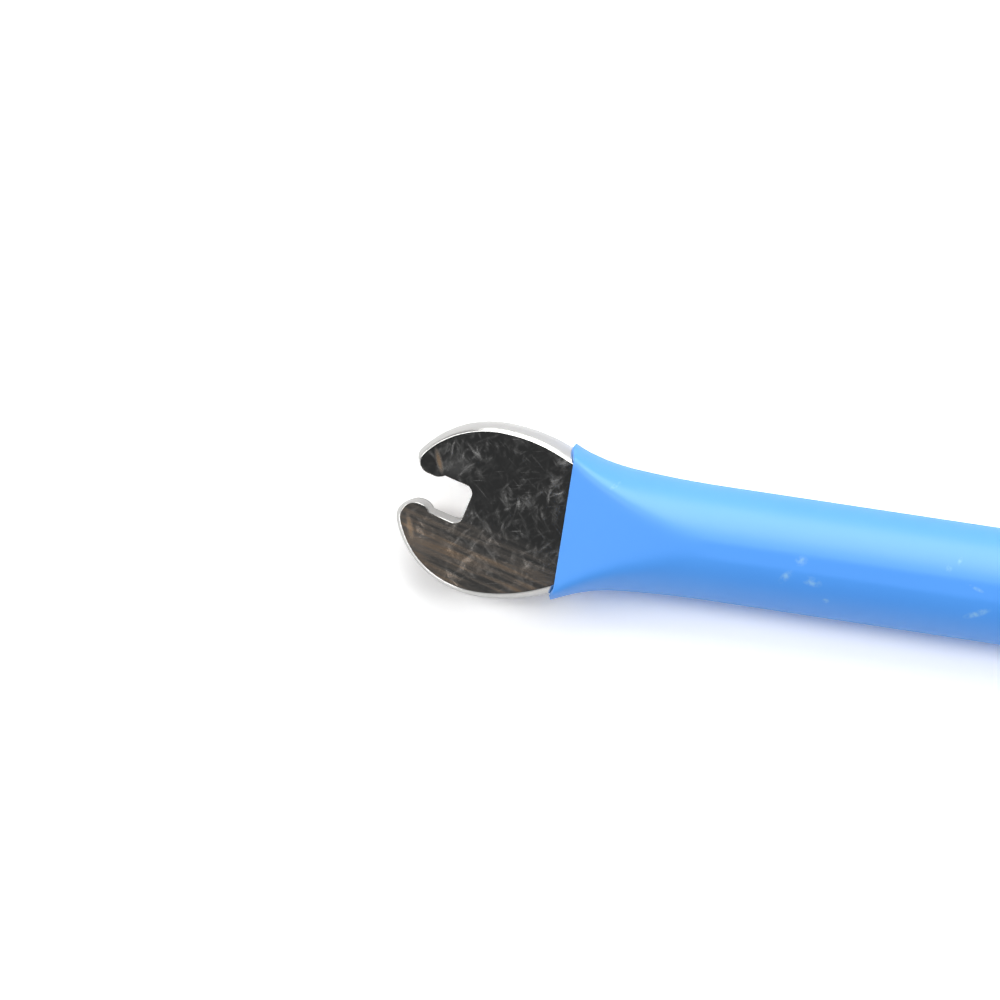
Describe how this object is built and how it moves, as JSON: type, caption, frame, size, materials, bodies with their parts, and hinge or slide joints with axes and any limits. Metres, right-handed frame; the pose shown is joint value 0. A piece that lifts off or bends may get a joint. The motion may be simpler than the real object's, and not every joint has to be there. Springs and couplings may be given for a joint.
{
  "type": "spoke wrench",
  "caption": "Open-jaw spoke wrench: a flat chromed head with a lipped slot for a spoke nipple, on a round bar with a soft blue grip.",
  "frame": {"origin": "middle of the nipple that the slot holds, halfway through the head's thickness", "axes": "+X along the handle from the head to its closed end, +Z along the spoke that the tool turns about, +Y square to both, on the side of the jaw that the slot's mouth leans towards"},
  "size_m": [0.112, 0.0147, 0.0096],
  "materials": {
    "wrench_body": "nickel-chrome plating over forged steel, polished, with light scuffs",
    "grip_sleeve": "dip-moulded soft PVC, satin blue"
  },
  "bodies": {
    "root": {"wrench_body": "wrench_body", "grip_sleeve": "grip_sleeve"}
  },
  "joints": []
}
